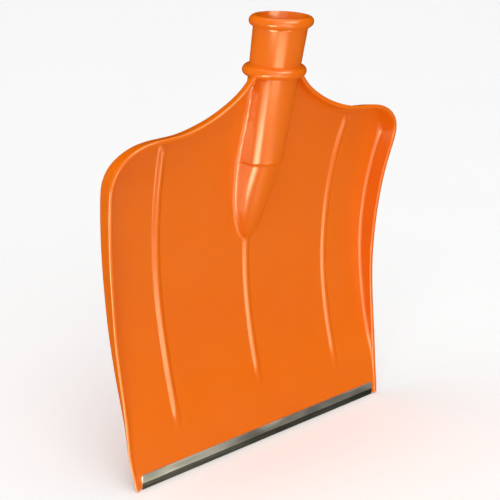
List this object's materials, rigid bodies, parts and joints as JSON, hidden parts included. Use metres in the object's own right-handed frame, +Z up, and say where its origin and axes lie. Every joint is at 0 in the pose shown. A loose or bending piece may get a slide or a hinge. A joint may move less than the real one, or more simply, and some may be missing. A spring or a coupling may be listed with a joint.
{
  "type": "snow shovel head",
  "caption": "Moulded plastic scoop head with ribbed pan, raised rim and tubular shaft socket, and a riveted aluminium wear strip along its cutting edge.",
  "frame": {"origin": "centre of the shaft socket's mouth, in the plane of the mouth's flat rim", "axes": "+X across the blade, which is symmetric about X=0; -Y the hollow loading side; +Z up from the cutting edge to the socket"},
  "size_m": [0.3828, 0.0897, 0.4699],
  "materials": {
    "orange_plastic": "semi-gloss moulded polypropylene",
    "strip_metal": "drawn, lightly brushed",
    "rivet_metal": "satin"
  },
  "bodies": {
    "root": {"blade": "orange_plastic", "wear_strip": "strip_metal", "strip_rivet_1": "rivet_metal", "strip_rivet_2": "rivet_metal", "strip_rivet_3": "rivet_metal", "strip_rivet_4": "rivet_metal", "strip_rivet_5": "rivet_metal"}
  },
  "joints": []
}
